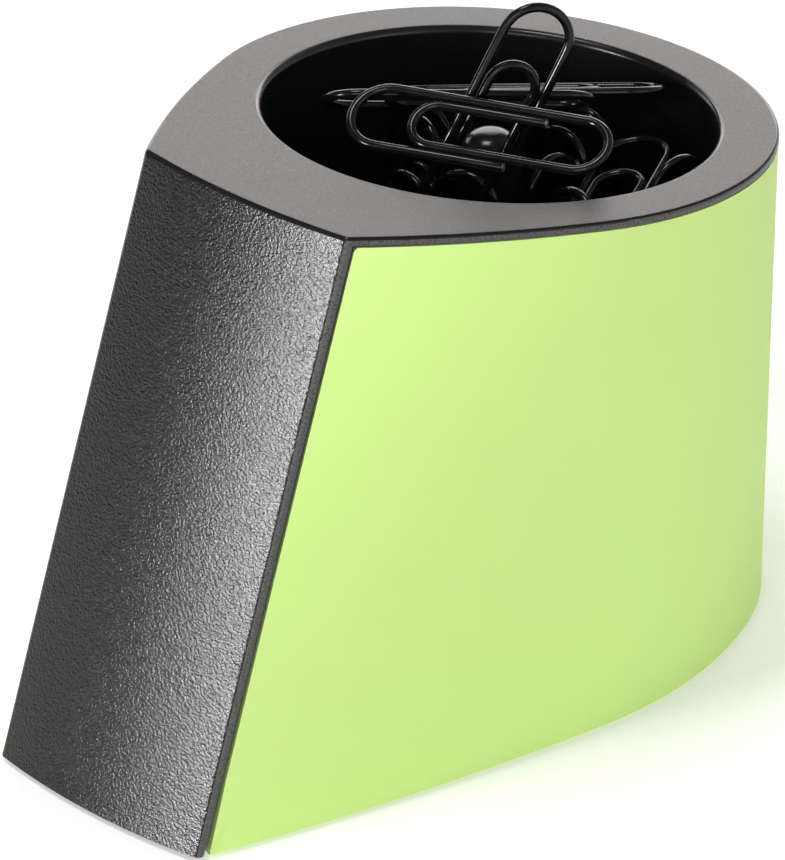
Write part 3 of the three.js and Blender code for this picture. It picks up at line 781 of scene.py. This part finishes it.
class OBJECT_OT_holder_sleeve(ClipHolderOperator, Operator):
    """Builds the smooth green sleeve that wraps the sides and the back"""

    bl_idname = "object.holder_sleeve"
    bl_label = "Sleeve"

    def execute(self, context):
        sizes = self.settings.moulding
        bm = bmesh.new()
        half_wall(bm, 0.0, SLEEVE_STEP)
        cut(bm, under_rim(BAND_HEIGHT + SLEEVE_TOP_GAP), clear_outer=True)
        cut(bm, panel_plane(PANEL_SIDE + GROOVE_FOOT, PANEL_SIDE + GROOVE_RIM), clear_inner=True)
        both_sides(bm)
        corners = [v for v in bm.verts if v.is_boundary and len(v.link_faces) == 1]
        if len(corners) != 4:
            raise RuntimeError(f"the sleeve has {len(corners)} corners, and should have 4")
        rounded(bm, corners, millimetres(sizes.sleeve_corner_round), 6, affect="VERTICES", clamp=False)
        rim = [e for e in bm.edges if e.is_boundary]
        bmesh.ops.solidify(bm, geom=bm.faces[:], thickness=WALL)
        level_foot(bm)
        rounded(bm, rim, millimetres(sizes.sleeve_edge_round), 4)
        bmesh.ops.recalc_face_normals(bm, faces=bm.faces)
        piece = finished("green_sleeve", bm, [satin_green(self.settings.finishes)], "holder")
        even_shading(piece)
        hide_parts("side_sleeve")
        return {"FINISHED"}


class OBJECT_OT_holder_clips(ClipHolderOperator, Operator):
    """Bends the coated wire clips and lays each where its node is"""

    bl_idname = "object.holder_clips"
    bl_label = "Wire clips"

    def execute(self, context):
        colours = self.settings.finishes
        finishes = [clip_coating(colours), cut_wire_end(colours)]
        for node, turns in CLIP_TURNS.items():
            bm = self.bent_wire()
            turn = Matrix()
            for degrees, axis in zip(turns, "ZYZ"):
                turn = turn @ Matrix.Rotation(math.radians(degrees), 4, axis)
            bmesh.ops.transform(bm, matrix=turn, verts=bm.verts)
            low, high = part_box(node)
            wanted = ((low + high) / 2 - holder_origin()) / MM
            places = [v.co for v in bm.verts]
            middle = Vector([(min(p[i] for p in places) + max(p[i] for p in places)) / 2 for i in range(3)])
            bmesh.ops.translate(bm, vec=wanted - middle, verts=bm.verts)
            body = frame["nodes"][node]["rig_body"]
            piece = finished("wire_" + node, bm, finishes, body, sharp_degrees=SHARP_ON_CLIP)
            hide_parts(node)
        return {"FINISHED"}

    def bent_wire(self):
        """A round wire swept along a clip: up the outer leg, round the bends and down the inner leg."""
        clip = self.settings.clip
        wire, steps = millimetres(clip.thickness) / 2, clip.bend_steps
        top = millimetres(clip.length) / 2 - wire
        outer = millimetres(clip.width) / 2 - wire
        low = outer - millimetres(clip.spacing) / 2
        inner = outer - millimetres(clip.spacing)
        inner_x = outer - 2 * low + inner
        inner_bend = millimetres(clip.inner_bend)
        start = Vector((-outer, 0, -millimetres(clip.outer_end)))
        bm = bmesh.new()
        bmesh.ops.create_circle(bm, segments=clip.sides, radius=wire, matrix=Matrix.Translation(start))
        ring = self.leg(bm, bm.edges[:], top - outer - start.z)
        ring = self.bend(bm, ring, (0, 0, top - outer), steps)
        ring = self.leg(bm, ring, (low - top) - (top - outer))
        ring = self.bend(bm, ring, (outer - low, 0, low - top), steps)
        ring = self.leg(bm, ring, inner_bend - (low - top))
        ring = self.bend(bm, ring, (inner_x, 0, inner_bend), steps)
        self.leg(bm, ring, -millimetres(clip.inner_end) - inner_bend)
        bmesh.ops.holes_fill(bm, edges=[e for e in bm.edges if e.is_boundary], sides=0)
        bmesh.ops.recalc_face_normals(bm, faces=bm.faces)
        caps = [f for f in bm.faces if len(f.verts) == clip.sides]
        for cap in caps:
            cap.material_index = 1
        rounded(bm, {e for cap in caps for e in cap.edges}, wire * CLIP_END_ROUND, 2)
        return bm

    @staticmethod
    def leg(bm, ring, rise):
        """Draws a wire's open end up or down, and returns the new end."""
        made = bmesh.ops.extrude_edge_only(bm, edges=ring)["geom"]
        verts = [g for g in made if isinstance(g, bmesh.types.BMVert)]
        bmesh.ops.translate(bm, vec=(0, 0, rise), verts=verts)
        return [g for g in made if isinstance(g, bmesh.types.BMEdge)]

    @staticmethod
    def bend(bm, ring, centre, steps):
        """Turns a wire's open end half-way round, and returns the new end."""
        verts = list({v for e in ring for v in e.verts})
        made = bmesh.ops.spin(
            bm, geom=verts + ring, cent=centre, axis=(0, 1, 0), angle=math.pi, steps=steps, use_merge=False
        )
        return [g for g in made["geom_last"] if isinstance(g, bmesh.types.BMEdge)]


class OBJECT_OT_holder_hardware(ClipHolderOperator, Operator):
    """Finishes the base plate, magnet, screws and rubber feet"""

    bl_idname = "object.holder_hardware"
    bl_label = "Base and hardware"

    def execute(self, context):
        colours = self.settings.finishes
        dress("base_plate", base_black(colours))
        dress("magnet", zinc_steel("magnet_plating", colours, 3))
        screw_finish, rubber = zinc_steel("screw_zinc", colours, 0.8), foot_rubber(colours)
        for node in frame["nodes"]:
            if node.startswith("screw_"):
                dress(node, screw_finish)
            elif node.startswith("foot_"):
                dress(node, rubber)
        return {"FINISHED"}


class OBJECT_OT_holder_stage(ClipHolderOperator, Operator):
    """Sets the floor, the soft lights and the camera"""

    bl_idname = "object.holder_stage"
    bl_label = "Stage"

    def execute(self, context):
        stage = self.settings.stage
        self.camera(stage)
        self.floor(stage)
        self.surroundings()
        self.lights()
        context.scene.view_settings.view_transform = "Standard"
        context.scene.view_settings.look = "None"
        return {"FINISHED"}

    @staticmethod
    def camera(stage):
        """Sets the camera at the photograph's viewing angle."""
        data = bpy.data.cameras.new("camera")
        data.lens, data.sensor_width = stage.lens, SENSOR_WIDTH
        data.dof.use_dof = False
        data.clip_start, data.clip_end = 0.01, 20
        azimuth, elevation = math.radians(CAMERA_AZIMUTH), math.radians(CAMERA_ELEVATION)
        level = math.cos(elevation)
        out = Vector((math.sin(azimuth) * level, -math.cos(azimuth) * level, math.sin(elevation)))
        camera = bpy.data.objects.new("camera", data)
        aim = holder_origin() + Vector(CAMERA_AIM) * MM
        roll = Matrix.Rotation(math.radians(CAMERA_ROLL), 4, "Z")
        turn = out.to_track_quat("Z", "Y").to_matrix().to_4x4() @ roll
        camera.matrix_world = Matrix.Translation(aim + out * stage.distance) @ turn
        bpy.context.scene.collection.objects.link(camera)
        bpy.context.scene.camera = camera

    @staticmethod
    def floor(stage):
        """Lays the pale floor, a hair under the holder and faintly lit from within."""
        finish = Finish("pale_floor", stage.floor, 0.9, specular=0.1)
        finish.vary_colour(finish.noise(60), tinted(stage.floor, 0.99), stage.floor)
        finish.set("Emission Color", (1, 1, 1, 1))
        finish.set("Emission Strength", FLOOR_GLOW)
        bm = bmesh.new()
        under = Matrix.Translation((0, 0, -FLOOR_DROP))
        bmesh.ops.create_grid(bm, x_segments=1, y_segments=1, size=FLOOR_HALF, matrix=under)
        mesh = bpy.data.meshes.new("floor")
        bm.to_mesh(mesh)
        bm.free()
        mesh.materials.append(finish.material)
        floor = bpy.data.objects.new("floor", mesh)
        bpy.context.scene.collection.objects.link(floor)

    @staticmethod
    def surroundings():
        """Sets white surroundings that fade upwards and to the left."""
        world = bpy.context.scene.world or bpy.data.worlds.new("studio")
        bpy.context.scene.world = world
        world.use_nodes = True
        nodes, links = world.node_tree.nodes, world.node_tree.links
        background = nodes["Background"]
        background.inputs["Color"].default_value = (1, 1, 1, 1)
        direction = nodes.new("ShaderNodeTexCoord").outputs["Generated"]
        axes = nodes.new("ShaderNodeSeparateXYZ")
        links.new(direction, axes.inputs[0])
        both = nodes.new("ShaderNodeMath")
        both.operation = "MULTIPLY"
        for socket, (axis, ends) in enumerate((("Z", UPWARD_FADE), ("X", SIDEWAYS_FADE))):
            links.new(carried(world.node_tree, axes.outputs[axis], ends), both.inputs[socket])
        links.new(both.outputs["Value"], background.inputs["Strength"])

    @staticmethod
    def lights():
        """Hangs the soft lights, each by its place, size, power and tint."""
        warm, white = (1, 0.94, 0.93), (1, 1, 1)
        for name, place, size, power, tint in (
            ("overhead", (-0.13, -0.07, 0.9), (0.26, 0.26), 2.4, white),
            ("back_left", (-0.66, 0.76, 0.34), (0.9, 0.5), 5.4, warm),
            ("front_left", (-0.27, -0.94, 0.2), (0.2, 0.26), 9, white),
            ("front_right", (0.55, -0.75, 0.45), (0.5, 0.5), 1.9, white),
            ("left", (-0.95, 0.05, 0.3), (0.3, 0.3), 0.8, white),
            ("right", (0.9, 0.15, 0.35), (0.5, 0.5), 0.6, white),
        ):
            data = bpy.data.lights.new(name, "AREA")
            data.shape, data.size, data.size_y, data.energy = "RECTANGLE", *size, power
            data.color = tint
            light = bpy.data.objects.new(name, data)
            light.location = place
            away = Vector(place) - Vector(LIGHTS_AIM)
            light.rotation_euler = away.to_track_quat("Z", "Y").to_euler()
            bpy.context.scene.collection.objects.link(light)


class VIEW3D_PT_clip_holder(Panel):
    """Lists the holder's settings and the steps that build it"""

    bl_label = "Clip holder"
    bl_space_type = "VIEW_3D"
    bl_region_type = "UI"
    bl_category = "Clip holder"

    def draw(self, context):
        settings = context.scene.clip_holder
        for group in (settings.moulding, settings.clip, settings.finishes, settings.stage):
            box = self.layout.box()
            for name in group.__annotations__:
                box.prop(group, name)
        for operator in STEPS:
            self.layout.operator(operator.bl_idname)


STEPS = (
    OBJECT_OT_holder_stage,
    OBJECT_OT_holder_moulding,
    OBJECT_OT_holder_sleeve,
    OBJECT_OT_holder_hardware,
    OBJECT_OT_holder_clips,
)
SETTINGS = (MouldingSizes, ClipSizes, Finishes, StageSettings, ClipHolderSettings)
CLASSES = (*SETTINGS, *STEPS, VIEW3D_PT_clip_holder)


def register():
    for cls in CLASSES:
        bpy.utils.register_class(cls)
    bpy.types.Scene.clip_holder = PointerProperty(type=ClipHolderSettings)


def unregister():
    del bpy.types.Scene.clip_holder
    for cls in reversed(CLASSES):
        bpy.utils.unregister_class(cls)


def main():
    """Builds the stage and all the pieces."""
    register()
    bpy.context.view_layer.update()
    bpy.ops.object.holder_stage()
    bpy.ops.object.holder_moulding()
    bpy.ops.object.holder_sleeve()
    bpy.ops.object.holder_hardware()
    bpy.ops.object.holder_clips()


if __name__ == "__main__":
    main()
